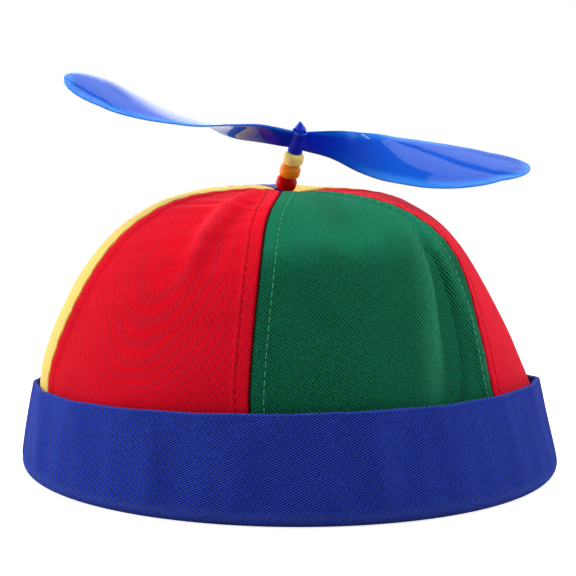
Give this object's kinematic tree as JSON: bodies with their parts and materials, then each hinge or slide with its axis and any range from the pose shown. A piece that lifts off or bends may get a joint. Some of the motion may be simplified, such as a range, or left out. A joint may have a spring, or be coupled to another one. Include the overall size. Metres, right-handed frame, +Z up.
{
  "type": "propeller beanie",
  "caption": "Round cloth skullcap of coloured panels with a turned-up cuff, topped by a beaded post that carries a free-spinning toy propeller.",
  "frame": {"origin": "on the surface that the cap rests on, at the middle of the cuff's fold", "axes": "+Z up, -Y towards the front panel, +X towards the wearer's left side as seen from the front"},
  "size_m": [0.192, 0.2, 0.1403],
  "materials": {
    "twill_cuff_blue": "woven cotton twill",
    "twill_green": "woven cotton twill",
    "twill_red": "woven cotton twill",
    "twill_yellow": "woven cotton twill",
    "twill_blue": "woven cotton twill",
    "plastic_post": "moulded gloss",
    "bead_red": "moulded satin",
    "bead_orange": "moulded satin",
    "bead_yellow": "moulded satin",
    "plastic_propeller": "moulded high gloss"
  },
  "bodies": {
    "cap": {"cuff": "twill_cuff_blue", "panel_front_green": "twill_green", "panel_right_front_red": "twill_red", "panel_right_back_yellow": "twill_yellow", "panel_back_blue": "twill_blue", "panel_left_back_yellow": "twill_yellow", "panel_left_front_red": "twill_red", "post": "plastic_post", "bead_red": "bead_red", "bead_orange": "bead_orange", "bead_yellow": "bead_yellow"},
    "propeller": {"propeller": "plastic_propeller"}
  },
  "joints": [
    {"name": "propeller_spin", "type": "hinge", "parent": "cap", "child": "propeller", "pos_m": [0.00057, -0.00803, 0.11953], "axis": [0.0952, -0.3666, 0.9255], "continuous": true}
  ]
}
